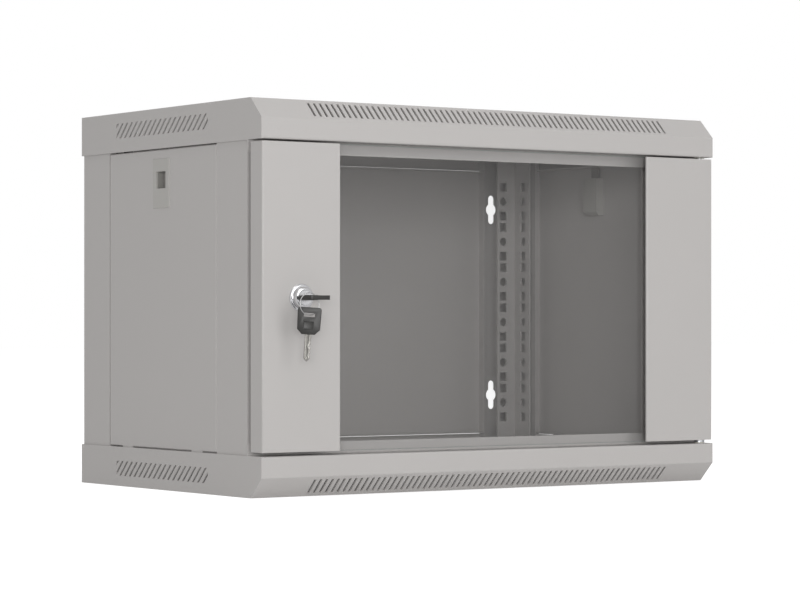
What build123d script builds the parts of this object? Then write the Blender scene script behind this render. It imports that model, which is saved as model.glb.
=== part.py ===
"""Wall mount network cabinet, 6 units high, for 19 inch equipment.

Built with X from the left side, Y from the front face back and Z up, all in millimetres.
Each finished piece is then moved so that the origin is the middle of the underside.
"""
import os

from build123d import *

# Overall sizes
width = 545.0
depth = 346.0
height = 371.0

# Folded caps at the top and the bottom
cap_height = 39.0
cap_sheet = 1.5
cap_chamfer = 19.0
ledge_depth = 24.2
lip_height = 11.3
fit_gap = 0.3
bend_radius = cap_sheet + fit_gap

# How far a cutting block or rod reaches past a face
cut_past = 1.0

# Vents in the caps
front_slot_width = 2.6
front_slot_length = 19.0
front_slot_pitch = 6.61
front_slot_margin = 60.0
side_slot_width = 3.6
side_slot_pitch = 9.47
side_slot_low = 10.4
side_slot_high = 25.0
side_field_front = 96.0
side_field_from_back = 72.0

# Fan place in the top cap
fan_grille_radius = 56.0
fan_hole_spacing = 105.0
fan_hole_radius = 2.25
fan_slot_width = 5.0
fan_slot_pitch = 10.0
fan_from_front = 130.0

# Cable entries in both caps
entry_width = 220.0
entry_depth = 55.0
entry_from_back = 36.0
cover_overlap = 10.0
cover_sheet = 1.2
cover_play = 0.3

# Columns
column_sheet = 1.5
reveal = 1.8
column_from_front = 27.2
front_column_end = 82.5
front_flange_width = 30.0
rear_column_depth = 55.2
rear_flange_width = 43.0
rear_lip = 10.0
rebate_width = 9.0
tab_width = 14.0
tab_length = 22.0

# Wall mounting keyholes in the rear columns
keyhole_from_side = 29.5
keyhole_spacing = 207.0
keyhole_middle_radius = 7.0
keyhole_slot_radius = 4.0
keyhole_length = 32.0

# Rear panel
panel_sheet = 1.0
rear_panel_return = 10.0
rear_panel_gap = 0.9

# Side panels
side_gap = 1.0
side_panel_gap = 1.0
panel_edge = 0.8
side_panel_return = 10.0
hook_width = 20.0
hook_drop = 8.0
hook_from_edge = 26.0
hook_overlap = 2.0

# Side panel latches
bezel_width = 31.6
bezel_height = 48.0
bezel_below_top = 8.9
bezel_sheet = 0.8
bezel_front = 2.0
housing_width = 22.0
housing_height = 40.0
housing_depth = 11.0
housing_wall = 1.5
housing_chamfer = 4.0
window_width = 18.0
window_height = 16.5
window_above_bezel = 19.0
latch_travel = 4.0
slider_play = 0.3
pocket_depth = 5.5
tongue_width = 12.0
tongue_thickness = 2.5
tongue_rise = 0.8
tongue_root = 1.0
pocket_play = 1.0
pocket_rim = 1.0

# Rack rails: 450 mm between them and 465.1 mm between their hole columns
rack_unit = 44.45
rack_units = 6
rail_from_side = 47.5
rack_hole_from_edge = 7.55
rail_sheet = 2.0
rail_flange = 25.5
rail_web = 28.0
front_rail_face = 55.0
rear_rail_from_back = 40.2
rack_hole_size = 9.5
web_hole_from_edge = 11.4
unit_hole_step = 15.875
rack_hole_sides = 12

# Depth bars that carry the rails
bar_width = 30.0
bar_height = 12.0
bar_sheet = 1.5
bar_slot_length = 70.0
bar_slot_width = 6.5

# Door
door_side_gap = 1.0
door_bottom_gap = 3.5
door_top_gap = 2.0
door_depth = 20.5
door_sheet = 1.2
door_bend = 1.5
door_strip_width = 86.3
door_inner_return = 2.2
glass_thickness = 4.0
glass_overlap = 13.0
glass_clearance = 2.0
tape_width = 11.0
tape_thickness = 3.2
buffer_radius = 4.0
buffer_from_side = 60.0
buffer_below_rim = 1.0

# Hinge
hinge_inset = 8.4
pin_radius = 2.5
pin_clearance = 0.1
bush_radius = 4.0
bush_flange_radius = 5.5
bush_flange = 0.8
bush_depth = 3.0
pin_engagement = 4.0
pin_length = 38.0
pin_collar_radius = 4.2
pin_collar_height = 2.0
pin_collar_from_top = 7.0
pin_handle_length = 17.0
pin_handle_radius = 2.0
pin_guide_drop = 24.0
bracket_sheet = 2.0
bracket_width = 17.0
bracket_leg = 14.0
spring_wire = 0.9
spring_radius = 3.6
spring_pitch = 4.4

# Lock
lock_from_side = 43.4
escutcheon_radius = 13.0
escutcheon_flange = 1.8
dome_radius = 10.5
dome_front_radius = 8.0
dome_height = 5.0
barrel_radius = 9.5
barrel_length = 27.8
plug_radius = 7.0
plug_clearance = 0.05
plug_proud = 0.5
keyway_width = 6.6
keyway_height = 2.6
keyway_depth = 28.0
lock_nut_width = 24.0
lock_nut_height = 4.0
cam_thickness = 2.0
cam_radius = 8.0
cam_length = 22.0
cam_tang = 7.0
cam_screw_radius = 4.5
cam_screw_height = 2.5

# Keys
bow_width = 22.0
bow_length = 25.0
bow_thickness = 4.0
bow_corner = 2.5
bow_neck = 12.0
bow_shoulder = 4.5
bow_pad_width = 10.0
bow_pad_length = 8.0
bow_pad_height = 0.4
bow_taper = 0.6
key_slot_width = 10.5
key_slot_height = 3.6
key_slot_from_end = 7.0
bow_gap = 2.0
blade_width = 5.6
blade_thickness = 2.0
blade_length = 25.0
blade_root = 8.0
blade_point = 3.0
bitting_pitch = 4.0
bitting_depths = (1.2, 0.6, 1.6, 0.9)
ring_radius = 10.0
ring_wire = 1.2
ring_drop = 5.95
spare_key_turn = 50.0
spare_key_tilt = 4.0

# Places worked out from the sizes
door_low = cap_height + door_bottom_gap
door_high = height - cap_height - door_top_gap
hinge_x = width - door_side_gap - hinge_inset
hinge_y = door_depth / 2
lock_x = lock_from_side
lock_z = height / 2
lock_front = -escutcheon_flange - dome_height
cam_front = barrel_length + column_sheet
bar_low = cap_sheet
bar_top = cap_sheet + bar_height
panel_low = cap_height + side_panel_gap
panel_high = height - cap_height - side_panel_gap
bezel_low = panel_high - bezel_below_top - bezel_height
rear_column_start = depth - rear_column_depth
latch_y = (front_column_end + rear_column_start) / 2
side_field_back = depth - side_field_from_back
strip_inner = door_side_gap + door_strip_width
rack_low = (height - rack_units * rack_unit) / 2
rail_inner = rail_from_side
rail_outer = rail_inner - rail_flange
rack_hole_x = rail_inner - rack_hole_from_edge
rear_rail_face = depth - rear_rail_from_back
column_back = depth - reveal
middle = Plane.YZ.offset(width / 2)
half_height = Plane.XY.offset(height / 2)

parts = {}


def block(x, y, z):
    """A block between two values on each axis."""
    size = [high - low for low, high in (x, y, z)]
    centre = [(high + low) / 2 for low, high in (x, y, z)]
    return Pos(*centre) * Box(*size)


def rod(radius, start, end):
    """A round rod from one point to another."""
    line = Vector(*end) - Vector(*start)
    return extrude(Plane(origin=start, z_dir=line) * Circle(radius), amount=line.length)


def folded(points, sheet, bend=None):
    """Section of a folded sheet: its outer line, with round or sharp bends, and the sheet to its right."""
    line = FilletPolyline(*points, radius=bend) if bend else Polyline(*points)
    return make_face(Wire(line.edges()).offset_2d(sheet, side=Side.RIGHT, closed=True))


def mirrored(shape):
    """The same piece on the cabinet's right side."""
    return mirror(shape, about=middle)


def turned_over(shape):
    """The same piece at the top instead of the bottom."""
    return mirror(shape, about=half_height)


def both_sides(shapes):
    """The shapes together with their copies on the right side."""
    return shapes + [mirrored(shape) for shape in shapes]


def both_ends(shapes):
    """The shapes together with their copies at the top."""
    return shapes + [turned_over(shape) for shape in shapes]


def group(shapes):
    """Separate solids that share one node."""
    return Compound(children=[solid for shape in shapes for solid in shape.solids()])


# Caps


def cap_shell():
    """The bottom cap as a folded tray, before its slots are cut."""
    profile = [
        (depth, cap_height),
        (depth, 0),
        (cap_chamfer, 0),
        (0, cap_chamfer),
        (0, cap_height),
        (ledge_depth, cap_height),
        (ledge_depth, cap_height + lip_height),
    ]
    tray = extrude(Plane.YZ * folded(profile, cap_sheet, bend_radius), amount=width)
    end_points = [(depth, 0), (cap_chamfer, 0), (0, cap_chamfer), (0, cap_height), (depth, cap_height)]
    end_wall = extrude(Plane.YZ * Polygon(*end_points, align=None), amount=cap_sheet, dir=(1, 0, 0))
    return tray + end_wall + mirrored(end_wall)


def front_slots():
    """Straight slots across the bottom cap's sloping front."""
    count = int((width - 2 * front_slot_margin) / front_slot_pitch) + 1
    slot = Box(front_slot_width, front_slot_length, 4 * cap_sheet)
    sloping = Rot(-45, 0, 0) * slot
    first = width / 2 - (count - 1) * front_slot_pitch / 2
    return [
        Pos(first + i * front_slot_pitch, cap_chamfer / 2, cap_chamfer / 2) * sloping
        for i in range(count)
    ]


def side_slots(low):
    """Slanting slots through both side walls of a cap, clipped to their field."""
    rise = side_slot_high - side_slot_low
    field = Pos(0, (side_field_front + side_field_back) / 2, low + rise / 2) * Box(
        4 * cap_sheet, side_field_back - side_field_front, rise
    )
    count = int((side_field_back - side_field_front) / side_slot_pitch) + 2
    slots = []
    for i in range(count):
        start = side_field_front - rise / 2 + i * side_slot_pitch
        corners = [(start + rise, low), (start + rise + side_slot_width, low)]
        corners += [(start + side_slot_width, low + rise), (start, low + rise)]
        slot = extrude(Plane.YZ * Polygon(*corners, align=None), amount=2 * cap_sheet, both=True)
        slots += (slot & field).solids()
    return both_sides(slots)


def cap(top):
    """One cap with its vents, cable entry and hinge hole."""
    cutters = front_slots()
    tall = 4 * cap_sheet
    cutters.append(entry_block(0, (-tall, tall)))
    hole_z = (cap_height - tall, cap_height + tall)
    cutters.append(rod(bush_radius, *[(hinge_x, hinge_y, z) for z in hole_z]))
    shell = cap_shell() - cutters
    if not top:
        return shell - side_slots(side_slot_low)
    return turned_over(shell) - side_slots(height - side_slot_high) - fan_cutters()


def fan_cutters():
    """The slots and screw holes of the fan place in the top."""
    centre = Pos(width / 2, fan_from_front, height)
    count = int(2 * fan_grille_radius / fan_slot_pitch)
    cutters = []
    for i in range(count):
        y = (i - (count - 1) / 2) * fan_slot_pitch
        reach = (fan_grille_radius**2 - (abs(y) + fan_slot_width / 2) ** 2) ** 0.5
        cutters.append(centre * Pos(0, y, 0) * Box(2 * reach, fan_slot_width, 4 * cap_sheet))
    half = fan_hole_spacing / 2
    for dx in (-half, half):
        for dy in (-half, half):
            cutters.append(centre * Pos(dx, dy, 0) * Cylinder(fan_hole_radius, 4 * cap_sheet))
    return cutters


def entry_block(margin, z):
    """A block as large as the cable entry, with a margin all round."""
    back = depth - entry_from_back
    half = entry_width / 2 + margin
    return block((width / 2 - half, width / 2 + half), (back - entry_depth - margin, back + margin), z)


def cable_cover():
    """The snap-in cover of the bottom cable entry: a plate inside the cap with a step that fills the hole."""
    plate = entry_block(cover_overlap, (cap_sheet, cap_sheet + cover_sheet))
    return plate + entry_block(-cover_play, (0, cap_sheet))


# Columns


def end_tabs(x, y):
    """The foot and head plates that weld a column to the caps."""
    plate = block((x, x + tab_width), (y, y + tab_length), (cap_sheet, cap_sheet + column_sheet))
    return both_ends([plate])


def upright(section, low, high):
    """A section in plan, drawn up between two heights."""
    return extrude(Pos(0, 0, low) * section, amount=high - low)


def front_column():
    """The left front column, with the flange that the lock's cam catches."""
    panel_seat = reveal + side_panel_return + fit_gap
    profile = [
        (reveal + front_flange_width, column_from_front),
        (reveal, column_from_front),
        (reveal, front_column_end),
        (panel_seat, front_column_end),
        (panel_seat, front_column_end + rebate_width),
    ]
    column = upright(folded(profile, column_sheet), cap_sheet, height - cap_sheet)
    for tab in end_tabs(reveal + column_sheet, column_from_front + column_sheet):
        column += tab
    return column


def keyhole(z):
    """A hanging hole: a round middle with a slot above and below it."""
    centre = Pos(keyhole_from_side, column_back, z) * Rot(90, 0, 0)
    slot = SlotOverall(keyhole_length, 2 * keyhole_slot_radius, rotation=90)
    return extrude(centre * (slot + Circle(keyhole_middle_radius)), amount=2 * column_sheet, both=True)


def rear_column():
    """The left rear column, with the wall flange and its keyholes."""
    panel_seat = reveal + side_panel_return + fit_gap
    wall_end = reveal + rear_flange_width
    profile = [
        (panel_seat, rear_column_start - rebate_width),
        (panel_seat, rear_column_start),
        (reveal, rear_column_start),
        (reveal, column_back),
        (wall_end, column_back),
        (wall_end, column_back - rear_lip),
    ]
    column = upright(folded(profile, column_sheet), cap_sheet, height - cap_sheet)
    for tab in end_tabs(reveal + column_sheet, column_back - column_sheet - tab_length):
        column += tab
    for z in (height / 2 - keyhole_spacing / 2, height / 2 + keyhole_spacing / 2):
        column -= keyhole(z)
    return column


# Panels


def pan(low, high, depth_in, sheet):
    """A shallow folded pan in the YZ plane, its outer face at X = 0 and its rims turned inwards."""
    (y0, z0), (y1, z1) = low, high
    body = block((0, depth_in), (y0, y1), (z0, z1))
    hollow = block((sheet, depth_in + cut_past), (y0 + sheet, y1 - sheet), (z0 + sheet, z1 - sheet))
    return chamfer(body.faces().sort_by(Axis.X)[0].edges(), panel_edge * sheet) - hollow


def rear_panel():
    """The panel that closes the back between the two rear columns."""
    edge = reveal + rear_flange_width + fit_gap
    low = cap_height + rear_panel_gap
    high = height - low
    flat = pan((edge, low), (width - edge, high), rear_panel_return, panel_sheet)
    return Pos(0, column_back, 0) * Rot(0, 0, -90) * flat


def side_panel():
    """The left side panel: a pan with hooks below and a latch opening near its top."""
    y0 = front_column_end + side_gap
    y1 = rear_column_start - side_gap
    panel = Pos(reveal, 0, 0) * pan((y0, panel_low), (y1, panel_high), side_panel_return, panel_sheet)
    for y in (y0 + hook_from_edge, y1 - hook_from_edge - hook_width):
        hook_z = (panel_low - hook_drop, panel_low + hook_overlap)
        hook = block((reveal, reveal + panel_sheet), (y, y + hook_width), hook_z)
        lower_corners = hook.edges().filter_by(Axis.X).group_by(Axis.Z)[0]
        panel += chamfer(lower_corners, hook_drop / 3)
    half = housing_width / 2 + fit_gap / 2
    housing_low = housing_z()[0]
    opening_z = (housing_low - fit_gap / 2, housing_low + housing_height + fit_gap / 2)
    panel -= block((0, reveal + 2 * panel_sheet), (latch_y - half, latch_y + half), opening_z)
    half = tongue_width / 2 + slider_play
    slot_x = (tongue_front() - slider_play, tongue_front() + tongue_thickness + slider_play)
    slot_z = (panel_high - 3 * panel_sheet, panel_high + cut_past)
    return panel - block(slot_x, (latch_y - half, latch_y + half), slot_z)


# Side panel latches


def housing_z():
    """Lowest and highest point of the latch housing behind the panel."""
    low = bezel_low + (bezel_height - housing_height) / 2
    return low, low + housing_height


def tongue_front():
    """How far in from the side the latch tongue's outer face lies."""
    return reveal + panel_sheet + slider_play


def latch_housing():
    """The latch's body: a bezel outside the panel and a box with a sloping foot inside it."""
    half = bezel_width / 2
    bezel_z = (bezel_low, bezel_low + bezel_height)
    bezel = block((reveal - bezel_sheet, reveal), (latch_y - half, latch_y + half), bezel_z)
    bezel = chamfer(bezel.faces().sort_by(Axis.X)[0].edges(), bezel_sheet / 2)
    low, high = housing_z()
    half = housing_width / 2
    body = block((reveal, reveal + housing_depth), (latch_y - half, latch_y + half), (low, high))
    body = chamfer(body.edges().filter_by(Axis.Y).group_by(Axis.Z)[0].sort_by(Axis.X)[-1], housing_chamfer)
    housing = bezel + body
    half = window_width / 2
    window_low = bezel_low + window_above_bezel
    window_z = (window_low, window_low + window_height)
    housing -= block((0, reveal + bezel_front), (latch_y - half, latch_y + half), window_z)
    half = housing_width / 2 - housing_wall
    cavity_front = tongue_front() - slider_play
    cavity_x = (cavity_front, reveal + housing_depth - housing_wall)
    cavity_z = (low + housing_chamfer + housing_wall, high - housing_wall)
    housing -= block(cavity_x, (latch_y - half, latch_y + half), cavity_z)
    half = tongue_width / 2 + slider_play
    slot_x = (cavity_front, tongue_front() + tongue_thickness + slider_play)
    slot_z = (high - 2 * housing_wall, high + cut_past)
    return housing - block(slot_x, (latch_y - half, latch_y + half), slot_z)


def latch_slider():
    """The sliding catch: a finger pocket behind the window and a tongue that rises behind the cap."""
    low, high = housing_z()
    half = housing_width / 2 - housing_wall - slider_play
    slider_x = (tongue_front(), reveal + housing_depth - housing_wall - slider_play)
    slider_low = low + housing_chamfer + housing_wall + slider_play
    slider_high = high - housing_wall - slider_play - latch_travel
    body = block(slider_x, (latch_y - half, latch_y + half), (slider_low, slider_high))
    window_low = bezel_low + window_above_bezel
    pocket_z = (window_low - latch_travel + slider_play, window_low + window_height + slider_play)
    half = window_width / 2 - pocket_play
    pocket = block((0, slider_x[0] + pocket_depth), (latch_y - half, latch_y + half), pocket_z)
    deep_edge = pocket.edges().filter_by(Axis.Y).group_by(Axis.X)[-1].sort_by(Axis.Z)[0]
    body -= chamfer(deep_edge, pocket_depth - pocket_rim)
    tongue_x = (slider_x[0], slider_x[0] + tongue_thickness)
    half = tongue_width / 2
    tongue_z = (slider_high - tongue_root, panel_high + tongue_rise)
    tongue = block(tongue_x, (latch_y - half, latch_y + half), tongue_z)
    inner_top = tongue.edges().filter_by(Axis.Y).group_by(Axis.Z)[-1].sort_by(Axis.X)[0]
    return body + chamfer(inner_top, tongue_thickness / 3)


# Rack rails and the bars below and above them


def rack_holes(place, true_rounds=()):
    """Square, round and square holes of each rack unit, cut along the place's normal."""
    cutters = []
    square = extrude(Rectangle(rack_hole_size, rack_hole_size), amount=2 * rail_sheet, both=True)
    outline = RegularPolygon(rack_hole_size / 2, rack_hole_sides)
    many_sided = extrude(outline, amount=2 * rail_sheet, both=True)
    disc = extrude(Circle(rack_hole_size / 2), amount=2 * rail_sheet, both=True)
    for unit in range(rack_units):
        centre = rack_low + (unit + 0.5) * rack_unit
        cutters.append(place(centre) * (disc if unit in true_rounds else many_sided))
        cutters.append(place(centre - unit_hole_step) * square)
        cutters.append(place(centre + unit_hole_step) * square)
    return cutters


def rack_rail(front):
    """A left rack rail: an L of sheet with rack holes in both of its walls."""
    if front:
        flange_y, free_y = front_rail_face, front_rail_face + rail_web
        profile = [(rail_inner, flange_y), (rail_outer, flange_y), (rail_outer, free_y)]
        hole_y = free_y - web_hole_from_edge
    else:
        flange_y = rear_rail_face + rail_sheet
        free_y = flange_y - rail_web
        profile = [(rail_outer, free_y), (rail_outer, flange_y), (rail_inner, flange_y)]
        hole_y = free_y + web_hole_from_edge
    rail = upright(folded(profile, rail_sheet), bar_top, height - bar_top)
    foot_y = (min(flange_y, free_y) + rail_sheet, max(flange_y, free_y) - rail_sheet)
    foot = block((rail_outer, rail_inner), foot_y, (bar_top, bar_top + rail_sheet))
    rail += both_ends([foot])
    fixing_units = (0, rack_units - 1) if front else ()
    cutters = rack_holes(lambda z: Pos(rack_hole_x, flange_y, z) * Rot(90, 0, 0), fixing_units)
    cutters += rack_holes(lambda z: Pos(rail_outer, hole_y, z) * Rot(0, 90, 0))
    return rail - cutters


def bar_ends():
    """Front and back ends of a depth bar."""
    return column_from_front + 2 * column_sheet, column_back - rear_lip - column_sheet


def depth_bar():
    """The bottom left bar: a channel welded on the cap, with slots in which the rails can be moved."""
    bar_middle = (rail_outer + rail_sheet + rail_inner) / 2
    x0 = bar_middle - bar_width / 2
    x1 = x0 + bar_width
    profile = [(x0, bar_low), (x0, bar_top), (x1, bar_top), (x1, bar_low)]
    front, back = bar_ends()
    section = Plane(origin=(0, back, 0), x_dir=(1, 0, 0), z_dir=(0, -1, 0)) * folded(profile, bar_sheet)
    bar = extrude(section, amount=back - front)
    half = bar_slot_width / 2
    slot_x = (bar_middle - half, bar_middle + half)
    first = front_rail_face + rail_web / 2 - 2 * bar_slot_width
    last = rear_rail_face + rail_sheet - rail_web / 2 + 2 * bar_slot_width
    for y0 in (first, last - bar_slot_length):
        bar -= block(slot_x, (y0, y0 + bar_slot_length), (bar_top - 2 * bar_sheet, bar_top + cut_past))
    return bar


# Door


def door_strip(right):
    """A steel strip of the door: a pan that is open at the back, folded in beside the glass."""
    profile = [
        (strip_inner, door_inner_return),
        (strip_inner, 0),
        (door_side_gap, 0),
        (door_side_gap, door_depth),
    ]
    strip = upright(folded(profile, door_sheet, door_bend), door_low, door_high)
    end_x = (door_side_gap + door_sheet / 2, strip_inner - glass_overlap - glass_clearance)
    for z in (door_low, door_high - door_sheet):
        strip += block(end_x, (door_sheet / 2, door_depth), (z, z + door_sheet))
    if not right:
        return strip - lock_rod(barrel_radius, -cut_past, 2 * door_sheet)
    ends = (door_high - 2 * door_sheet, door_high + cut_past)
    pin_hole = rod(pin_radius + pin_clearance, *[(hinge_x, hinge_y, z) for z in ends])
    ends = (door_low - cut_past, door_low + 2 * door_sheet)
    fixed_hole = rod(pin_radius, *[(hinge_x, hinge_y, z) for z in ends])
    return mirrored(strip) - pin_hole - fixed_hole


def glass_pane():
    """The glass between the strips, held behind their inner edges."""
    x0 = strip_inner - glass_overlap
    y0 = door_sheet + tape_thickness
    return block((x0, width - x0), (y0, y0 + glass_thickness), (door_low, door_high))


def glazing_tape():
    """The left mounting tape between the strip and the glass."""
    x1 = strip_inner - door_sheet - fit_gap
    return block(
        (x1 - tape_width, x1),
        (door_sheet, door_sheet + tape_thickness),
        (door_low + door_sheet, door_high - door_sheet),
    )


def door_buffers():
    """Rubber buffers on the caps' lips, near the lock side."""
    z = cap_height + lip_height - buffer_radius - buffer_below_rim
    rest = door_depth + fit_gap
    buffer = rod(buffer_radius, (buffer_from_side, ledge_depth, z), (buffer_from_side, rest, z))
    return group(both_ends([buffer]))


# Hinge


def hinge_bush():
    """The bottom bush: a flanged sleeve in the ledge."""
    seat = cap_height
    sleeve = rod(bush_radius, (hinge_x, hinge_y, seat - bush_depth), (hinge_x, hinge_y, seat))
    flange = rod(bush_flange_radius, (hinge_x, hinge_y, seat), (hinge_x, hinge_y, seat + bush_flange))
    bore = rod(pin_radius + pin_clearance, (hinge_x, hinge_y, 0), (hinge_x, hinge_y, seat + bush_depth))
    return sleeve + flange - bore


def hinge_bracket(plate_low, hole):
    """A bracket in the right strip: a plate across the pin and a leg on the strip's side."""
    outer = width - door_side_gap - door_sheet
    plate_x = (outer - bracket_width, outer)
    rim = (door_sheet + fit_gap, door_depth - door_sheet)
    plate = block(plate_x, rim, (plate_low, plate_low + bracket_sheet))
    leg = block((outer - bracket_sheet, outer), rim, (plate_low - bracket_leg, plate_low))
    ends = (plate_low - cut_past, plate_low + 2 * bracket_sheet)
    bore = rod(hole, *[(hinge_x, hinge_y, z) for z in ends])
    return plate + leg - bore


def pin_guide_z():
    """Height of the top bracket's plate."""
    return door_high - door_sheet - pin_guide_drop


def bottom_plate_z():
    """Height of the bottom bracket's plate."""
    return door_low + door_sheet + bracket_leg


def hinge_pin_bottom():
    """The fixed pin, with the collar that the door stands on."""
    foot = cap_height - bush_depth
    plate_top = bottom_plate_z() + bracket_sheet
    pin = rod(pin_radius, (hinge_x, hinge_y, foot), (hinge_x, hinge_y, plate_top))
    collar_low = cap_height + bush_flange + fit_gap
    return pin + rod(bush_flange_radius, (hinge_x, hinge_y, collar_low), (hinge_x, hinge_y, door_low))


def hinge_pin_top():
    """The sprung pin that is drawn down by its handle to lift the door off."""
    tip = height - cap_height + pin_engagement
    tail = tip - pin_length
    pin = rod(pin_radius, (hinge_x, hinge_y, tail), (hinge_x, hinge_y, tip))
    collar_top = door_high - door_sheet - pin_collar_from_top
    collar_z = (collar_top - pin_collar_height, collar_top)
    pin += rod(pin_collar_radius, *[(hinge_x, hinge_y, z) for z in collar_z])
    arm_z = tail + pin_handle_radius
    arm_end = hinge_x - pin_handle_length
    half = pin_handle_radius
    arm = block((arm_end, hinge_x), (hinge_y - half, hinge_y + half), (arm_z - half, arm_z + half))
    return pin + chamfer(arm.edges().group_by(Axis.X)[0], pin_handle_radius / 2)


def pin_spring():
    """The spring that pushes the top pin up, from square wire."""
    low = pin_guide_z() + bracket_sheet
    high = door_high - door_sheet - pin_collar_from_top - pin_collar_height
    rise = high - low - spring_wire
    path = Helix(pitch=spring_pitch, height=rise, radius=spring_radius)
    start = path @ 0
    section = Plane(origin=start, x_dir=(1, 0, 0), z_dir=path % 0) * Rectangle(spring_wire, spring_wire)
    coil = sweep(section, path=path, is_frenet=True)
    return Pos(hinge_x, hinge_y, low + spring_wire / 2) * coil


# Lock


def lock_place(y):
    """The lock's axis at a distance behind the door's face, facing the front."""
    return Plane(origin=(lock_x, y, lock_z), x_dir=(1, 0, 0), z_dir=(0, -1, 0))


def lock_rod(radius, front, back):
    """A round rod on the lock's axis."""
    return rod(radius, (lock_x, back, lock_z), (lock_x, front, lock_z))


def lock_barrel():
    """The lock's housing: a plated dome and flange in front, and the barrel through the door."""
    flange = lock_rod(escutcheon_radius, -escutcheon_flange, 0)
    dome = lock_rod(dome_radius, lock_front, -escutcheon_flange)
    dome = chamfer(dome.edges().group_by(Axis.Y)[0], dome_radius - dome_front_radius)
    body = lock_rod(barrel_radius, 0, barrel_length)
    bore = lock_rod(plug_radius + plug_clearance, lock_front - dome_height, 2 * barrel_length)
    return flange + dome + body - bore


def lock_nut():
    """The hexagon nut that clamps the lock to the strip."""
    outline = RegularPolygon(lock_nut_width / 2, 6, major_radius=False) - Circle(barrel_radius)
    return extrude(lock_place(door_sheet + lock_nut_height) * outline, amount=lock_nut_height)


def lock_plug():
    """The turning plug, with its keyway and the square tang for the cam."""
    plug = lock_rod(plug_radius, lock_front - plug_proud, cam_front)
    tang = Pos(lock_x, cam_front + cam_thickness / 2, lock_z) * Box(cam_tang, cam_thickness, cam_tang)
    half = keyway_width / 2
    keyway_x = (lock_x - half, lock_x + half)
    keyway_y = (lock_front - plug_proud - cut_past, lock_front + keyway_depth)
    half = keyway_height / 2
    return plug + tang - block(keyway_x, keyway_y, (lock_z - half, lock_z + half))


def lock_cam():
    """The cam: a flat arm that points up when the door is free."""
    arm = Pos(0, cam_length / 2) * SlotOverall(cam_length + 2 * cam_radius, 2 * cam_radius, rotation=90)
    outline = arm - Rectangle(cam_tang, cam_tang)
    outline = lock_place(cam_front + cam_thickness) * outline
    return extrude(outline, amount=cam_thickness)


def cam_screw():
    """The screw that holds the cam on the plug."""
    face = cam_front + cam_thickness
    return lock_rod(cam_screw_radius, face, face + cam_screw_height)


# Keys, drawn flat with the blade along +Y from the middle of the ring slot


def flat_key():
    """The moulded bow and the steel blade of one key."""
    half = bow_width / 2
    end = -key_slot_from_end
    foot = end + bow_length
    shoulder = foot - bow_shoulder
    points = [(-half, end), (half, end), (half - bow_taper, shoulder), (bow_neck / 2, foot)]
    points += [(-bow_neck / 2, foot), (-half + bow_taper, shoulder)]
    outline = Polygon(*points, align=None)
    outline = fillet(outline.vertices().group_by(Axis.Y)[0], bow_corner)
    outline -= Rectangle(key_slot_width, key_slot_height)
    bow = extrude(outline, amount=bow_thickness / 2, both=True)
    pad_y = shoulder - bow_pad_length / 2
    pad = Pos(0, pad_y) * Rectangle(bow_pad_width, bow_pad_length)
    bow += extrude(pad, amount=bow_thickness / 2 + bow_pad_height, both=True)
    tip = foot + blade_length
    steel = [(-blade_width / 2, foot - blade_root), (blade_width / 2, foot - blade_root)]
    steel += [(blade_width / 2, tip - blade_point), (0, tip), (-blade_width / 2, tip - blade_point)]
    blade_outline = Polygon(*steel, align=None)
    for i, deep in enumerate(bitting_depths):
        y = tip - 2 * blade_point - i * bitting_pitch
        notch = Rot(0, 0, 45) * Rectangle(2**0.5 * deep, 2**0.5 * deep)
        blade_outline -= Pos(blade_width / 2, y) * notch
    blade = extrude(blade_outline, amount=blade_thickness / 2, both=True)
    return bow - blade, blade


def key_slot_y():
    """Where the ring slot of the key in the lock lies."""
    return lock_front - bow_gap - (bow_length - key_slot_from_end)


def ring_centre():
    """Centre of the ring, hung on the bow's side beside the slot."""
    web = (bow_width / 2 + key_slot_width / 2) / 2
    return (lock_x - web, key_slot_y(), lock_z - ring_drop)


def key_ring():
    """The ring of square wire that joins the two keys."""
    band = Circle(ring_radius + ring_wire / 2) - Circle(ring_radius - ring_wire / 2)
    return Pos(*ring_centre()) * Rot(90, 0, 0) * extrude(band, amount=ring_wire / 2, both=True)


def spare_key_place():
    """The spare key's slot on the lowest point of the ring, hanging down and turned outwards."""
    x, y, z = ring_centre()
    across = Vector(1, 0, 0).rotate(Axis.Z, -(90 - spare_key_turn))
    normal = Vector(0, 1, 0).rotate(Axis.Z, -(90 - spare_key_turn))
    hanging = Plane(origin=(x, y, z - ring_radius), x_dir=across, z_dir=normal)
    return hanging.location * Rot(0, 0, spare_key_tilt)


bow, blade = flat_key()
inserted = Pos(lock_x, key_slot_y(), lock_z)
spare = spare_key_place()

parts["bottom_cap"] = cap(False)
parts["top_cap"] = cap(True)
parts["cable_cover_bottom"] = cable_cover()
parts["cable_cover_top"] = turned_over(cable_cover())
parts["front_column_left"] = front_column()
parts["rear_column_left"] = rear_column()
parts["rear_panel"] = rear_panel()
parts["rack_rail_front_left"] = rack_rail(True)
parts["rack_rail_rear_left"] = rack_rail(False)
parts["depth_bar_bottom_left"] = depth_bar()
parts["depth_bar_top_left"] = turned_over(depth_bar())
parts["side_panel_left"] = side_panel()
parts["latch_housing_left"] = latch_housing()
parts["latch_slider_left"] = latch_slider()
for name in [name for name in parts if name.endswith("_left")]:
    parts[name.replace("_left", "_right")] = mirrored(parts[name])
parts["door_strip_left"] = door_strip(False)
parts["door_strip_right"] = door_strip(True)
parts["glass_pane"] = glass_pane()
parts["glazing_tape_left"] = glazing_tape()
parts["glazing_tape_right"] = mirrored(glazing_tape())
parts["door_buffers"] = door_buffers()
parts["hinge_bushes"] = group(both_ends([hinge_bush()]))
parts["hinge_bracket_top"] = hinge_bracket(pin_guide_z(), pin_radius + pin_clearance)
parts["hinge_bracket_bottom"] = hinge_bracket(bottom_plate_z(), pin_radius)
parts["hinge_pin_bottom"] = hinge_pin_bottom()
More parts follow.
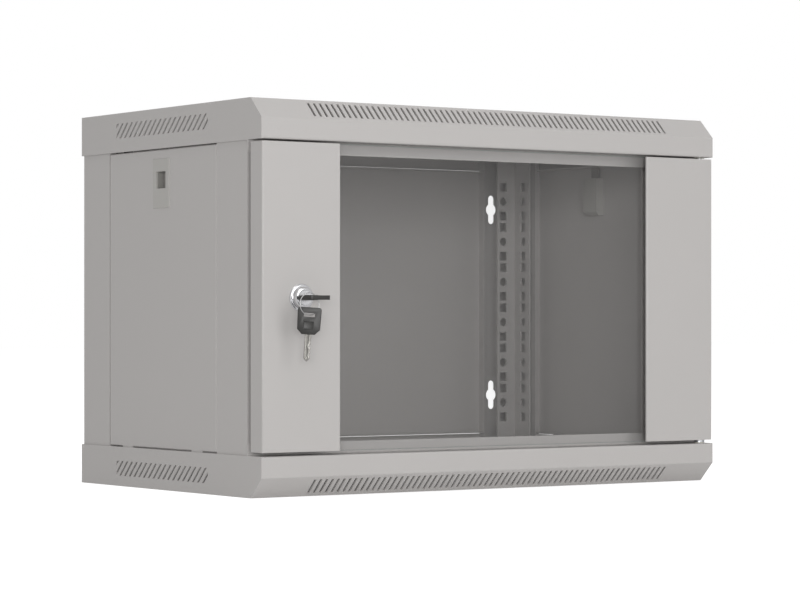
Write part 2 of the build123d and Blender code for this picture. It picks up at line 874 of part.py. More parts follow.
parts["hinge_pin_top"] = hinge_pin_top()
parts["pin_spring"] = pin_spring()
parts["lock_barrel"] = lock_barrel()
parts["lock_nut"] = lock_nut()
parts["lock_plug"] = lock_plug()
parts["lock_cam"] = lock_cam()
parts["cam_screw"] = cam_screw()
parts["key_bow"] = inserted * bow
parts["key_blade"] = inserted * blade
parts["key_ring"] = key_ring()
parts["spare_key_bow"] = spare * bow
parts["spare_key_blade"] = spare * blade

os.makedirs("parts", exist_ok=True)
to_origin = Pos(-width / 2, -depth / 2, 0)
for name, shape in parts.items():
    export_step(to_origin * shape, f"parts/{name}.step")
print(len(parts), "pieces written")
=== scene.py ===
"""Looks and stage of a wall mount network cabinet, laid out as an add-on and run as a script."""
import math

import bmesh
import bpy
from mathutils import Matrix, Vector


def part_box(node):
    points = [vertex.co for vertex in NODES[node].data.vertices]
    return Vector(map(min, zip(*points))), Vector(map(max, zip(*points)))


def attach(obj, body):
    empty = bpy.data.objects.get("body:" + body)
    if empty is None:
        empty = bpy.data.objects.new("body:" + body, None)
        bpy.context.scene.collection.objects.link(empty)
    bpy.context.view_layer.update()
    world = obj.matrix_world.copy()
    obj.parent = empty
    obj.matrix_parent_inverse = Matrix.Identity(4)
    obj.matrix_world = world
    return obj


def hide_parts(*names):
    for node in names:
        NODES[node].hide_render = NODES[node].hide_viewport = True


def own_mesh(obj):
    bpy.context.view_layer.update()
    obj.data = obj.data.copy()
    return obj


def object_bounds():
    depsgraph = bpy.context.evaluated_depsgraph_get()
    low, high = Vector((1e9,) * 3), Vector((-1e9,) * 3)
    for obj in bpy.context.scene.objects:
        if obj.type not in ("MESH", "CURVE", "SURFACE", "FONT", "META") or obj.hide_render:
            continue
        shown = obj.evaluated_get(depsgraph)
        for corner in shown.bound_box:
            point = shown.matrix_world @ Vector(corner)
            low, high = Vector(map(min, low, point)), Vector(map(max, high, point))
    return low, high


bl_info = {
    "name": "Network Cabinet",
    "version": (1, 0, 0),
    "blender": (4, 5, 0),
    "location": "View3D > Sidebar > Cabinet",
    "description": "Finishes, fasteners, lock, keys and stage of a wall mount network cabinet",
    "category": "Object",
}

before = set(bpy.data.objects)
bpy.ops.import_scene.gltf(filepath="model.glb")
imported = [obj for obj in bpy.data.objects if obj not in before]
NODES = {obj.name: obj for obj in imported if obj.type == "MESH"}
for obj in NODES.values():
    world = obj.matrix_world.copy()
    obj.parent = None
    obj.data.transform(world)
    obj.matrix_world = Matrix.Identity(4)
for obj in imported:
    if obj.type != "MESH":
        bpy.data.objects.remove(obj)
CAD_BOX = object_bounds()
MM = 0.001
UP = Vector((0, 0, 1))
BACK = Vector((0, 1, 0))

# Meshes: the distance within which points are joined, the corners that count as flat and as a fold, and
# how nearly two faces look the same way, as the cosine between them
MERGE_DISTANCE = 0.002 * MM
FLAT_CORNER = math.radians(0.5)
SHARP_FOLD = math.radians(50)
SAME_WAY = 0.99
GLASS_FACE = 0.9

# Wire: turns of the spring and of the split ring, steps in a turn of each, and sides of the wire
SPRING_TURNS = 3.5
SPRING_STEPS = 28
RING_TURNS = 1.9
RING_STEPS = 40
WIRE_SIDES = 10

# Keys: widths of the sloping walls of the sunk pads and of the milled grooves, and play in finding the pads
PAD_WALL = 0.2 * MM
GROOVE_WALL = 0.3 * MM
LEVEL_PLAY = 0.1 * MM

# Rail bolts: chamfer of the head, across and down, and the numbers of sides of the head and of the washer
HEAD_CHAMFER = (0.7 * MM, 0.5 * MM)
HEAD_SIDES = 6
WASHER_SIDES = 32

# Door buffer, from its foot to its tip: shares of its radius and of its height
BUFFER_SIDES = 32
BUFFER_OUTLINE = ((0, 0), (1, 0), (1, 0.45), (0.9, 0.75), (0.6, 0.95), (0, 1))

# Lock face: steps inward, each with a share of the flange's thickness, then of the dome's rise
LOCK_SIDES = 72
FLANGE_CURVE = ((0, 0), (0, 0.4), (0.5 * MM, 0.8), (1.3 * MM, 1))
DOME_CURVE = ((0, 0), (0.1 * MM, 0.35), (0.6 * MM, 0.7), (1.5 * MM, 0.93))
BORE_CHAMFER = (0.3 * MM, 0.4 * MM)

# Finishes: patches of tone and of haze per metre, strength of the relief, lines of plated metal, and glass
CLOUDS_PER_METRE = 9.0
SMEARS_PER_METRE = 14.0
RELIEF_STRENGTH = 0.35
LINE_WIDTH = 0.3 * MM
LINE_STRETCH = (1.0, 1.0, 0.12)
LINE_STRENGTH = 0.2
LINE_RELIEF = 0.02 * MM
LINE_CHANGE = 0.06
LINE_GLOSS = (-0.08, 0.1)
GLASS_INDEX = 1.5
GLASS_HAZE = 0.02

# Stage: brightness of the sky in a mirror and as light on a matt surface, and of the floor's own glow where
# it is seen and in a mirror; the floor's half width and the gap below the object
SKY_MIRRORED = 0.7
SKY_FILL = 0.39
FLOOR_SEEN = 0.65
FLOOR_MIRRORED = 0.7
FLOOR_REACH = 14
FLOOR_GAP = 0.2 * MM
FLOOR_CLOUDS_PER_METRE = 2.0
FLOOR_CHANGE = 0.005
LAMP_AIM = (0, 0, 0.2)
# Lamps: name, place, width, height and power in watts
LAMPS = (
    ("front_panel", (0.6, -4.0, 0.9), 2.2, 2.2, 32.5),
    ("left_panel", (-2.4, -3.6, 0.55), 2.0, 1.0, 61),
    ("top_panel", (-0.4, -0.6, 3.8), 2.4, 2.4, 37),
)
CAMERA_PLACE = (-1.6613, -2.4071, 0.1612)
CAMERA_TURN = (math.radians(90), 0, math.radians(-34.641))
CAMERA_SHIFT = 0.03
CAMERA_REACH = 60
SENSOR_WIDTH_MM = 36

SHEET_NODES = [n for n in NODES if n.startswith((
    "bottom_cap", "top_cap", "cable_cover", "front_column", "rear_column", "rear_panel",
    "side_panel", "door_strip", "depth_bar", "rack_rail"))]
SOFT_FOLDS = ("door_strip_left", "door_strip_right", "side_panel_left", "side_panel_right", "rear_panel")
SIDES = ("left", "right")
KEPT_AS = "cabinet_finish_"


def linear(code):
    """An sRGB hex colour as linear red, green, blue and alpha."""
    channels = [int(code[i:i + 2], 16) / 255 for i in (1, 3, 5)]
    return [c / 12.92 if c <= 0.04045 else ((c + 0.055) / 1.055) ** 2.4 for c in channels] + [1.0]


def swatch(name, description, code):
    """A colour property with its default as a hex value."""
    return bpy.props.FloatVectorProperty(
        name=name, description=description, subtype="COLOR", size=4, min=0, max=1, default=linear(code))


def size(name, description, default):
    """A length property in metres."""
    return bpy.props.FloatProperty(name=name, description=description, default=default, min=0, unit="LENGTH")


class CabinetSizes(bpy.types.PropertyGroup):
    """Sizes of the pieces that dress the cabinet."""
    fold_softness: size("Fold softness", "Width of the rounding on sheet edges", 0.35 * MM)
    glass_arris: size("Glass arris", "Width of the ground corner round the glass", 0.2 * MM)
    bolt_across: size("Bolt head", "Width across the flats of the rail bolts", 10 * MM)
    bolt_head: size("Bolt head height", "Height of the rail bolts' heads", 4 * MM)
    washer_radius: size("Washer radius", "Outer radius of the washers under the rail bolts", 8 * MM)
    washer_thickness: size("Washer thickness", "Thickness of the washers", 1.2 * MM)
    ring_wire: size("Ring wire", "Diameter of the key ring's wire", 0.65 * MM)
    spring_wire: size("Spring wire", "Diameter of the hinge spring's wire", 0.9 * MM)
    key_rounding: size("Key rounding", "Rounding of the keys' moulded bows", 0.3 * MM)
    blade_rounding: size("Blade rounding", "Rounding of the keys' blades", 0.15 * MM)
    pad_rim: size("Pad rim", "Width of the rim round the pad on a key's bow", 0.9 * MM)
    pad_sink: size("Pad sink", "How deep the pad's middle lies in its rim", 0.7 * MM)
    groove_edge: size("Groove edge", "Steel left beside the groove that is milled in a key's blade", 1.9 * MM)
    groove_depth: size("Groove depth", "Depth of the groove in a key's blade", 0.6 * MM)
    lens: size("Lens", "Focal length of the camera", 128.7 * MM)


class CabinetColours(bpy.types.PropertyGroup):
    """Colours of the cabinet's finishes."""
    paint: swatch("Paint", "Light grey powder coat", "#BBB8B6")
    glass: swatch("Glass", "Tint of the toughened glass", "#FAFAFA")
    edge: swatch("Glass edge", "Ground edge of the glass", "#8A9491")
    tape: swatch("Tape", "Foam mounting tape", "#161616")
    rubber: swatch("Rubber", "Door buffers", "#1E1E1E")
    nylon: swatch("Nylon", "Hinge bushes", "#D6D4CA")
    latch: swatch("Latch", "Moulded side panel latches", "#B4B2AE")
    # Painted shade: the slider's own grey plastic, set darker than the housing to stand in for the shade deep
    # in the latch's recess
    slider: swatch("Slider", "Sliding catches of the latches", "#92908C")
    chrome: swatch("Chrome", "Lock face and plug", "#D4D4D6")
    zinc: swatch("Zinc", "Plated fasteners", "#B8B9BC")
    spring: swatch("Spring steel", "Springs and the key ring", "#C6C6C6")
    nickel: swatch("Nickel", "Key blades", "#85837F")
    key: swatch("Key plastic", "Moulded bows of the keys", "#292826")
    floor: swatch("Floor", "Studio floor", "#F4F4F4")


def sizes():
    """The sizes in use."""
    return bpy.context.scene.cabinet_sizes


def colours():
    """The colours in use."""
    return bpy.context.scene.cabinet_colours


# Materials


def add(tree, kind, settings=None, **links):
    """One node with its settings. A link has its socket's name, with _ for a space, or its index after n."""
    made = tree.nodes.new(kind)
    for key, value in (settings or {}).items():
        setattr(made, key, value)
    for key, value in links.items():
        socket = made.inputs[int(key[1:])] if key[1:].isdigit() else made.inputs[key.replace("_", " ")]
        if isinstance(value, bpy.types.NodeSocket):
            tree.links.new(value, socket)
        else:
            socket.default_value = value
    return made


def start_material(name):
    """An empty material, its tree, and Object coordinates."""
    material = bpy.data.materials.new(name)
    material.use_nodes = True
    material.node_tree.nodes.clear()
    place = add(material.node_tree, "ShaderNodeTexCoord").outputs["Object"]
    return material, material.node_tree, place


def end_material(tree, shader):
    """Links a shader to the material's surface."""
    add(tree, "ShaderNodeOutputMaterial", Surface=shader.outputs[0])


def tinted(tree, colour, mask, change):
    """A colour that grows lighter and darker by a share, as a mask says."""
    dark = [c * (1 - change) for c in colour[:3]] + [1.0]
    light = [min(1.0, c * (1 + change)) for c in colour[:3]] + [1.0]
    return add(tree, "ShaderNodeMix", {"data_type": "RGBA"}, n0=mask, n6=dark, n7=light).outputs[2]


def finish_of(name, colour, grain_mm, relief_mm, roughness, change=0.02, spread=0.06, metallic=0.0):
    """A finish with a fine relief, slow changes of tone and an uneven gloss."""
    material, tree, place = start_material(name)
    grain = add(tree, "ShaderNodeTexNoise", Vector=place, Scale=1 / (grain_mm * MM), Detail=2.0)
    cloud = add(tree, "ShaderNodeTexNoise", Vector=place, Scale=CLOUDS_PER_METRE, Detail=3.0)
    bump = add(tree, "ShaderNodeBump", Strength=RELIEF_STRENGTH, Distance=relief_mm * MM,
               Height=grain.outputs["Fac"])
    gloss = add(tree, "ShaderNodeMapRange", Value=cloud.outputs["Fac"], To_Min=roughness - spread,
                To_Max=roughness + spread)
    shader = add(tree, "ShaderNodeBsdfPrincipled", Metallic=metallic, Roughness=gloss.outputs[0],
                 Base_Color=tinted(tree, colour, cloud.outputs["Fac"], change), Normal=bump.outputs[0])
    end_material(tree, shader)
    return material


def powder_coat():
    """Polyester powder baked on steel: an even satin grey with an orange peel about 1.2 mm across."""
    return finish_of("powder_coated_steel", colours().paint, 1.2, 0.015, 0.48, change=0.015)


def toughened_glass():
    """Clear toughened glass: 4 mm of it passes light straight on, and mirrors more the flatter it is seen."""
    material, tree, place = start_material("toughened_glass")
    smear = add(tree, "ShaderNodeTexNoise", Vector=place, Scale=SMEARS_PER_METRE, Detail=2.0)
    haze = add(tree, "ShaderNodeMapRange", Value=smear.outputs["Fac"], To_Min=0.0, To_Max=GLASS_HAZE)
    clear = add(tree, "ShaderNodeBsdfTransparent", Color=list(colours().glass))
    mirror = add(tree, "ShaderNodeBsdfGlossy", Roughness=haze.outputs[0])
    inner = add(tree, "ShaderNodeNewGeometry").outputs["Backfacing"]
    either = add(tree, "ShaderNodeMapRange", Value=inner, To_Min=GLASS_INDEX, To_Max=1 / GLASS_INDEX)
    share = add(tree, "ShaderNodeFresnel", IOR=either.outputs[0])
    end_material(tree, add(tree, "ShaderNodeMixShader", n0=share.outputs[0], n1=clear.outputs[0],
                           n2=mirror.outputs[0]))
    return material


def brushed_plate(name, colour, roughness):
    """Plated metal: bright, with fine lines left by rolling or turning, drawn 0.3 mm apart to show."""
    material, tree, place = start_material(name)
    stretched = add(tree, "ShaderNodeMapping", Vector=place, Scale=LINE_STRETCH)
    lines = add(tree, "ShaderNodeTexNoise", Vector=stretched.outputs[0], Scale=1 / LINE_WIDTH, Detail=3.0)
    gloss = add(tree, "ShaderNodeMapRange", Value=lines.outputs["Fac"], To_Min=roughness + LINE_GLOSS[0],
                To_Max=roughness + LINE_GLOSS[1])
    bump = add(tree, "ShaderNodeBump", Strength=LINE_STRENGTH, Distance=LINE_RELIEF,
               Height=lines.outputs["Fac"])
    shader = add(tree, "ShaderNodeBsdfPrincipled", Metallic=1.0, Roughness=gloss.outputs[0],
                 Base_Color=tinted(tree, colour, lines.outputs["Fac"], LINE_CHANGE), Normal=bump.outputs[0])
    end_material(tree, shader)
    return material


def make_materials():
    """All finishes by slot. Of three numbers, the first two are the grain's width and its relief in mm."""
    c = colours()
    return {
        "painted_steel": powder_coat(),
        "safety_glass": toughened_glass(),
        # The ground edge scatters the light, so it is a frosted grey with a breath of green
        "glass_edge": finish_of("ground_glass_edge", c.edge, 0.4, 0.02, 0.4),
        # Closed foam cells: black and fully matt
        "foam_tape": finish_of("acrylic_foam_tape", c.tape, 0.5, 0.1, 0.85),
        # Moulded rubber: black with a dull skin
        "rubber": finish_of("moulded_rubber", c.rubber, 0.7, 0.03, 0.7),
        # Natural nylon: milky, with a soft wide shine
        "nylon": finish_of("moulded_nylon", c.nylon, 0.8, 0.02, 0.4),
        # A spark eroded mould leaves ABS with a fine matt pebble
        "moulded_plastic": finish_of("spark_textured_abs", c.latch, 0.6, 0.04, 0.5),
        # A polished mould leaves ABS smooth, with a clearer shine; its grey is the slider's plastic darkened
        # to paint the shade in the latch's recess
        "latch_slider": finish_of("polished_grey_abs_with_painted_shade", c.slider, 1.5, 0.01, 0.35),
        # Chrome over die cast zinc: nearly a mirror, a little wavy
        "chrome_plate": finish_of("chrome_plated_zinc", c.chrome, 2.0, 0.004, 0.2, spread=0.04,
                                  metallic=1.0),
        # Bright zinc: blue white metal, the drawn wire brighter, the nickel of the blades greyer and duller
        "zinc_plate": brushed_plate("bright_zinc_plate", c.zinc, 0.3),
        "spring_steel": brushed_plate("drawn_spring_wire", c.spring, 0.28),
        "nickel_plate": brushed_plate("nickel_plated_brass", c.nickel, 0.4),
        # Moulded black ABS: handled until it is half glossy
        "key_plastic": finish_of("moulded_black_abs", c.key, 0.5, 0.03, 0.38),
    }


def finish(slot):
    """The finish of a slot. The first call makes them all, and the scene keeps them."""
    scene = bpy.context.scene
    if KEPT_AS + slot not in scene:
        for name, material in make_materials().items():
            scene[KEPT_AS + name] = material
    return scene[KEPT_AS + slot]


def dress(obj, slot):
    """Gives an object one finish."""
    if obj.material_slots:
        for place in obj.material_slots:
            place.material = finish(slot)
    else:
        obj.data.materials.append(finish(slot))


# Meshes


def to_piece(bm, name, body, slot, replaces=(), smooth=40):
    """Turns a bmesh into a piece that rides on a body, with corners over so many degrees kept sharp."""
    bmesh.ops.recalc_face_normals(bm, faces=bm.faces)
    mesh = bpy.data.meshes.new(name)
    bm.to_mesh(mesh)
    bm.free()
    mesh.shade_smooth()
    mesh.set_sharp_from_angle(angle=math.radians(smooth))
    obj = bpy.data.objects.new(name, mesh)
    bpy.context.scene.collection.objects.link(obj)
    dress(obj, slot)
    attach(obj, body)
    if replaces:
        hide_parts(*replaces)
    return obj


def merged_copy(node):
    """A CAD node's mesh with its loose triangles joined into flat faces."""
    bm = bmesh.new()
    bm.from_mesh(NODES[node].data)
    bmesh.ops.remove_doubles(bm, verts=bm.verts, dist=MERGE_DISTANCE)
    bmesh.ops.dissolve_limit(bm, angle_limit=FLAT_CORNER, verts=bm.verts, edges=bm.edges)
    return bm


def soften(bm, width, segments=2, sharper_than=40):
    """Rounds every edge that is sharper than an angle in degrees."""
    edges = [e for e in bm.edges
             if len(e.link_faces) == 2 and e.calc_face_angle(0) > math.radians(sharper_than)]
    bmesh.ops.bevel(bm, geom=edges, offset=width, offset_type="OFFSET", affect="EDGES", segments=segments,
                    profile=0.5, material=-1, clamp_overlap=True)


def flat_faces(bm):
    """The faces that lie like the largest one or opposite it, and that normal."""
    normal = max(bm.faces, key=lambda f: f.calc_area()).normal.copy()
    return [f for f in bm.faces if abs(f.normal.dot(normal)) > SAME_WAY], normal


def sink_pads(bm, rim, depth):
    """Sinks the middle of the raised pad on each side of a bow."""
    faces, normal = flat_faces(bm)
    places = [f.calc_center_median().dot(normal) for f in faces]
    pads = [f for f, place in zip(faces, places)
            if min(place - min(places), max(places) - place) < LEVEL_PLAY]
    bmesh.ops.inset_individual(bm, faces=pads, thickness=rim, depth=0)
    bmesh.ops.inset_individual(bm, faces=pads, thickness=PAD_WALL, depth=-depth)


def mill_grooves(bm, edge, depth):
    """Cuts a groove along each side of a blade."""
    faces, normal = flat_faces(bm)
    sides = sorted(faces, key=lambda f: f.calc_area())[-2:]
    bmesh.ops.inset_individual(bm, faces=sides, thickness=edge, depth=0)
    bmesh.ops.inset_individual(bm, faces=sides, thickness=GROOVE_WALL, depth=-depth)


def lathe(bm, outline, centre, axis, steps):
    """Spins a line of points, each a radius and a height along the axis, all round."""
    axis = Vector(axis).normalized()
    side = axis.orthogonal().normalized()
    centre = Vector(centre)
    verts = [bm.verts.new(centre + side * r + axis * h) for r, h in outline]
    edges = [bm.edges.new(pair) for pair in zip(verts, verts[1:])]
    bmesh.ops.spin(bm, geom=verts + edges, cent=centre, axis=axis, angle=2 * math.pi, steps=steps,
                   use_merge=True)
    bmesh.ops.remove_doubles(bm, verts=bm.verts, dist=MERGE_DISTANCE)


def wound(bm, wire, radius, centre, axis, turns, length, steps):
    """Round wire wound about an axis, with its ends closed."""
    axis = Vector(axis).normalized()
    side = axis.orthogonal().normalized()
    start = Vector(centre) + side * radius
    turn = Matrix.Translation(start) @ side.cross(axis).to_track_quat("Z", "Y").to_matrix().to_4x4()
    made = bmesh.ops.create_circle(bm, cap_ends=True, segments=WIRE_SIDES, radius=wire / 2, matrix=turn)
    faces = list({f for v in made["verts"] for f in v.link_faces})
    count = int(turns * steps)
    bmesh.ops.spin(bm, geom=faces, cent=Vector(centre), axis=axis, dvec=axis * (length / count),
                   angle=2 * math.pi * turns, steps=count)


def centre_of(node):
    """Middle of a node's box."""
    low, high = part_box(node)
    return (low + high) / 2


class CABINET_OT_sheet_metal(bpy.types.Operator):
    """Paints the folded sheets and rounds their edges"""
    bl_idname = "cabinet.sheet_metal"
    bl_label = "Sheet Metal"

    def execute(self, context):
        for name in SHEET_NODES:
            dress(NODES[name], "painted_steel")
        for name in SOFT_FOLDS:
            weld = NODES[name].modifiers.new("Joined faces", "WELD")
            weld.merge_threshold = MERGE_DISTANCE
            bevel = NODES[name].modifiers.new("Soft folds", "BEVEL")
            bevel.width = sizes().fold_softness
            bevel.segments = 2
            bevel.limit_method = "ANGLE"
            bevel.angle_limit = SHARP_FOLD
        return {"FINISHED"}


class CABINET_OT_glazing(bpy.types.Operator):
    """Grinds the edges of the glass and finishes the tape that holds it"""
    bl_idname = "cabinet.glazing"
    bl_label = "Glazing"

    def execute(self, context):
        bm = merged_copy("glass_pane")
        soften(bm, sizes().glass_arris, 1)
        sheet = to_piece(bm, "glass_sheet", "door", "safety_glass", ["glass_pane"], smooth=30)
        sheet.data.materials.append(finish("glass_edge"))
        for face in sheet.data.polygons:
            face.material_index = 0 if abs(face.normal.y) > GLASS_FACE else 1
        for side in SIDES:
            dress(NODES["glazing_tape_" + side], "foam_tape")
        return {"FINISHED"}


class CABINET_OT_latches(bpy.types.Operator):
    """Finishes the latches of the side panels"""
    bl_idname = "cabinet.latches"
    bl_label = "Side Panel Latches"

    def execute(self, context):
        for side in SIDES:
            dress(NODES["latch_housing_" + side], "moulded_plastic")
            dress(NODES["latch_slider_" + side], "latch_slider")
        return {"FINISHED"}


class CABINET_OT_rail_bolts(bpy.types.Operator):
    """Puts a bolt and a washer through each foot of the rack rails"""
    bl_idname = "cabinet.rail_bolts"
    bl_label = "Rail Bolts"
    foot_sheet: size("Foot", "Sheet thickness of the rails' feet", 2 * MM)

    def execute(self, context):
        s = sizes()
        top = s.washer_thickness + s.bolt_head
        radius = s.bolt_across / math.sqrt(3)
        across, down = HEAD_CHAMFER
        bm = bmesh.new()
        for name in [n for n in NODES if n.startswith("rack_rail")]:
            low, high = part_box(name)
            inward = 1 if low.x < 0 else -1
            x = (low.x + high.x) / 2 + inward * self.foot_sheet / 2
            y = (low.y + high.y) / 2
            for z, way in ((low.z + self.foot_sheet, 1), (high.z - self.foot_sheet, -1)):
                seat = Vector((x, y, z))
                lathe(bm, [(0, 0), (s.washer_radius, 0), (s.washer_radius, s.washer_thickness),
                           (0, s.washer_thickness)], seat, UP * way, WASHER_SIDES)
                lathe(bm, [(0, s.washer_thickness), (radius, s.washer_thickness), (radius, top - down),
                           (radius - across, top), (0, top)], seat, UP * way, HEAD_SIDES)
        to_piece(bm, "rail_bolts", "cabinet", "zinc_plate", smooth=25)
        return {"FINISHED"}


class CABINET_OT_hinges(bpy.types.Operator):
    """Finishes the hinge pins and brackets and winds the spring of the upper pin"""
    bl_idname = "cabinet.hinges"
    bl_label = "Hinges"

    def execute(self, context):
        for name in ("hinge_pin_top", "hinge_pin_bottom", "hinge_bracket_top", "hinge_bracket_bottom"):
            dress(NODES[name], "zinc_plate")
        dress(NODES["hinge_bushes"], "nylon")
        low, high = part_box("pin_spring")
        tall = high.z - low.z
        wire = sizes().spring_wire
        centre = centre_of("hinge_pin_bottom")
        centre.z = low.z + wire / 2
        bm = bmesh.new()
        wound(bm, wire, (high.x - low.x - wire) / 2, centre, UP, SPRING_TURNS, tall - wire, SPRING_STEPS)
        spring = to_piece(bm, "hinge_spring", "door", "spring_steel", ["pin_spring"], smooth=60)
        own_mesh(spring)
        return {"FINISHED"}


class CABINET_OT_buffers(bpy.types.Operator):
    """Shapes the rubber buffers that the door closes on"""
    bl_idname = "cabinet.buffers"
    bl_label = "Door Buffers"

    def execute(self, context):
        low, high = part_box("door_buffers")
        radius = (high.x - low.x) / 2
        depth = high.y - low.y
        outline = [(radius * out, depth * up) for out, up in BUFFER_OUTLINE]
        bm = bmesh.new()
        for z in (low.z + radius, high.z - radius):
            lathe(bm, outline, ((low.x + high.x) / 2, high.y, z), -BACK, BUFFER_SIDES)
        to_piece(bm, "buffer_domes", "cabinet", "rubber", ["door_buffers"], smooth=50)
        return {"FINISHED"}


class CABINET_OT_lock(bpy.types.Operator):
    """Turns the plated face of the lock and finishes its nut, cam and screw"""
    bl_idname = "cabinet.lock"
    bl_label = "Lock"
    flange: size("Flange", "Thickness of the flange on the door", 1.8 * MM)
    bore: size("Bore", "Radius of the hole for the plug", 7.05 * MM)
    barrel: size("Barrel", "Radius of the barrel behind the door", 9.5 * MM)
    dome: size("Dome", "Radius of the dome at the flange", 10.5 * MM)
    rim: size("Rim", "Radius of the dome's front rim", 8.0 * MM)

    def execute(self, context):
        low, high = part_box("lock_barrel")
        radius = (high.x - low.x) / 2
        centre = centre_of("lock_barrel")
        centre.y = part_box("door_strip_left")[0].y
        front = centre.y - low.y
        back = centre.y - high.y
        rise = front - self.flange
        wider, deeper = BORE_CHAMFER
        outline = [(self.bore, back), (self.barrel, back), (self.barrel, 0)]
        outline += [(radius - inward, self.flange * share) for inward, share in FLANGE_CURVE]
        outline += [(self.dome - inward, self.flange + rise * share) for inward, share in DOME_CURVE]
        outline += [(self.rim, front), (self.bore + wider, front), (self.bore, front - deeper),
                    (self.bore, back)]
        bm = bmesh.new()
        lathe(bm, outline, centre, -BACK, LOCK_SIDES)
        to_piece(bm, "lock_face", "door", "chrome_plate", ["lock_barrel"], smooth=30)
        dress(NODES["lock_plug"], "chrome_plate")
        for name in ("lock_nut", "lock_cam", "cam_screw"):
            dress(NODES[name], "zinc_plate")
        return {"FINISHED"}


class CABINET_OT_keys(bpy.types.Operator):
    """Rounds the keys' bows, sinks their pads, mills their blades and winds the split ring that joins them"""
    bl_idname = "cabinet.keys"
    bl_label = "Keys"

    def execute(self, context):
        for prefix, body in (("", "key"), ("spare_", "spare_key")):
            bm = merged_copy(prefix + "key_bow")
            sink_pads(bm, sizes().pad_rim, sizes().pad_sink)
            soften(bm, sizes().key_rounding, 3)
            to_piece(bm, prefix + "key_grip", body, "key_plastic", [prefix + "key_bow"])
            bm = merged_copy(prefix + "key_blade")
            mill_grooves(bm, sizes().groove_edge, sizes().groove_depth)
            soften(bm, sizes().blade_rounding)
            to_piece(bm, prefix + "key_steel", body, "nickel_plate", [prefix + "key_blade"])
        low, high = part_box("key_ring")
        wire = sizes().ring_wire
        centre = centre_of("key_ring")
        centre.y -= wire / 2
        bm = bmesh.new()
        wound(bm, wire, (high.x - low.x - wire) / 2, centre, BACK, RING_TURNS, wire, RING_STEPS)
        to_piece(bm, "split_ring", "ring", "spring_steel", ["key_ring"], smooth=60)
        return {"FINISHED"}


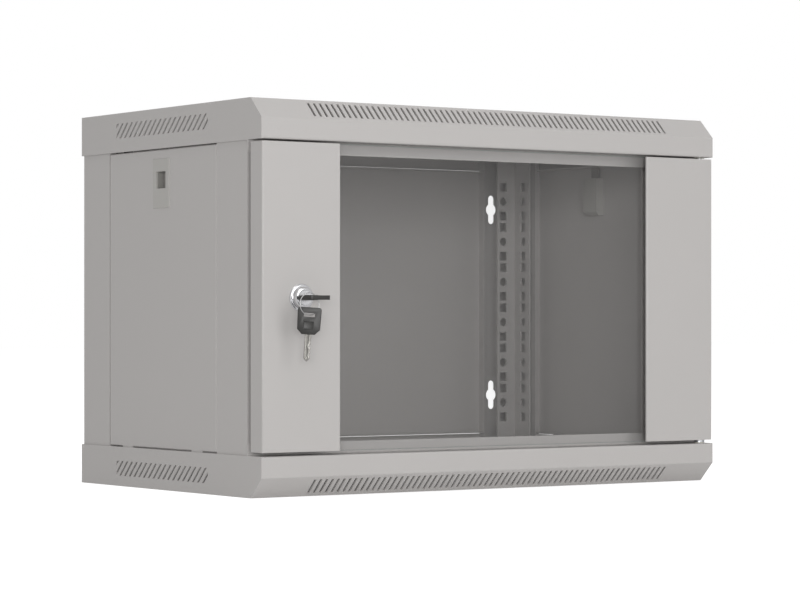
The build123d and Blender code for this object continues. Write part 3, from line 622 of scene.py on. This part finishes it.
class CABINET_OT_stage(bpy.types.Operator):
    """Sets up the floor, the lamps, the world and the camera"""
    bl_idname = "cabinet.stage"
    bl_label = "Stage"

    def execute(self, context):
        self.floor()
        self.world(context.scene)
        for lamp in LAMPS:
            self.lamp(*lamp)
        self.camera(context.scene)
        return {"FINISHED"}

    def directly_seen(self, tree):
        """The path of the light, and whether the eye meets it directly or through glass."""
        path = add(tree, "ShaderNodeLightPath")
        seen = add(tree, "ShaderNodeMath", {"operation": "MAXIMUM"}, n0=path.outputs["Is Camera Ray"],
                   n1=path.outputs["Is Transmission Ray"])
        return path, seen.outputs[0]

    def floor(self):
        """A wide pale floor that looks white and keeps the shadow."""
        bm = bmesh.new()
        bmesh.ops.create_grid(bm, x_segments=1, y_segments=1, size=FLOOR_REACH)
        mesh = bpy.data.meshes.new("studio_floor")
        bm.to_mesh(mesh)
        bm.free()
        floor = bpy.data.objects.new("studio_floor", mesh)
        floor.location.z = CAD_BOX[0].z - FLOOR_GAP
        bpy.context.scene.collection.objects.link(floor)
        material, tree, place = start_material("matt_studio_floor")
        cloud = add(tree, "ShaderNodeTexNoise", Vector=place, Scale=FLOOR_CLOUDS_PER_METRE)
        diffuse = add(tree, "ShaderNodeBsdfDiffuse",
                      Color=tinted(tree, colours().floor, cloud.outputs["Fac"], FLOOR_CHANGE))
        path, seen = self.directly_seen(tree)
        glow = add(tree, "ShaderNodeMath", {"operation": "MULTIPLY"}, n0=seen, n1=FLOOR_SEEN)
        white = add(tree, "ShaderNodeEmission", Strength=glow.outputs[0])
        paper = add(tree, "ShaderNodeAddShader", n0=diffuse.outputs[0], n1=white.outputs[0])
        mirrored = add(tree, "ShaderNodeEmission", Strength=FLOOR_MIRRORED)
        end_material(tree, add(tree, "ShaderNodeMixShader", n0=path.outputs["Is Glossy Ray"],
                               n1=paper.outputs[0], n2=mirrored.outputs[0]))
        mesh.materials.append(material)

    def world(self, scene):
        """Soft light from all round: white where it is seen, pale grey where metal and glass mirror it."""
        scene.world = bpy.data.worlds.new("studio_world")
        scene.world.use_nodes = True
        tree = scene.world.node_tree
        tree.nodes.clear()
        path, seen = self.directly_seen(tree)
        gloss = add(tree, "ShaderNodeMath", {"operation": "MULTIPLY"}, n0=path.outputs["Is Glossy Ray"],
                    n1=SKY_MIRRORED)
        both = add(tree, "ShaderNodeMath", {"operation": "MAXIMUM"}, n0=seen, n1=gloss.outputs[0])
        level = add(tree, "ShaderNodeMath", {"operation": "MAXIMUM"}, n0=both.outputs[0], n1=SKY_FILL)
        light = add(tree, "ShaderNodeBackground", Color=linear("#FFFFFF"), Strength=level.outputs[0])
        add(tree, "ShaderNodeOutputWorld", Surface=light.outputs[0])

    def lamp(self, name, place, wide, high, power):
        """A soft panel that faces the object."""
        light = bpy.data.lights.new(name, "AREA")
        light.shape = "RECTANGLE"
        light.size = wide
        light.size_y = high
        light.energy = power
        lamp = bpy.data.objects.new(name, light)
        lamp.location = place
        lamp.rotation_euler = (Vector(LAMP_AIM) - Vector(place)).to_track_quat("-Z", "Y").to_euler()
        bpy.context.scene.collection.objects.link(lamp)

    def camera(self, scene):
        """A level view from the front left."""
        data = bpy.data.cameras.new("photo_camera")
        data.sensor_width = SENSOR_WIDTH_MM
        data.lens = sizes().lens / MM
        data.shift_y = CAMERA_SHIFT
        data.clip_end = CAMERA_REACH
        camera = bpy.data.objects.new("photo_camera", data)
        camera.location = CAMERA_PLACE
        camera.rotation_euler = CAMERA_TURN
        scene.collection.objects.link(camera)
        scene.camera = camera
        scene.view_settings.view_transform = "Standard"


PIECES = (CABINET_OT_sheet_metal, CABINET_OT_glazing, CABINET_OT_latches, CABINET_OT_rail_bolts,
          CABINET_OT_hinges, CABINET_OT_buffers, CABINET_OT_lock, CABINET_OT_keys, CABINET_OT_stage)


class CABINET_PT_panel(bpy.types.Panel):
    """Lists the cabinet's sizes, colours and pieces"""
    bl_idname = "CABINET_PT_panel"
    bl_label = "Network Cabinet"
    bl_space_type = "VIEW_3D"
    bl_region_type = "UI"
    bl_category = "Cabinet"

    def draw(self, context):
        for group in (context.scene.cabinet_sizes, context.scene.cabinet_colours):
            for key in group.__annotations__:
                self.layout.prop(group, key)
        for piece in PIECES:
            self.layout.operator(piece.bl_idname)


CLASSES = (CabinetSizes, CabinetColours, *PIECES, CABINET_PT_panel)


def register():
    """Adds the classes, and the sizes and colours of each scene."""
    for cls in CLASSES:
        bpy.utils.register_class(cls)
    bpy.types.Scene.cabinet_sizes = bpy.props.PointerProperty(type=CabinetSizes)
    bpy.types.Scene.cabinet_colours = bpy.props.PointerProperty(type=CabinetColours)


def unregister():
    """Takes them away again."""
    del bpy.types.Scene.cabinet_colours
    del bpy.types.Scene.cabinet_sizes
    for cls in reversed(CLASSES):
        bpy.utils.unregister_class(cls)


def main():
    """Makes every piece and the stage."""
    register()
    for piece in PIECES:
        group, name = piece.bl_idname.split(".")
        getattr(getattr(bpy.ops, group), name)()


if __name__ == "__main__":
    main()
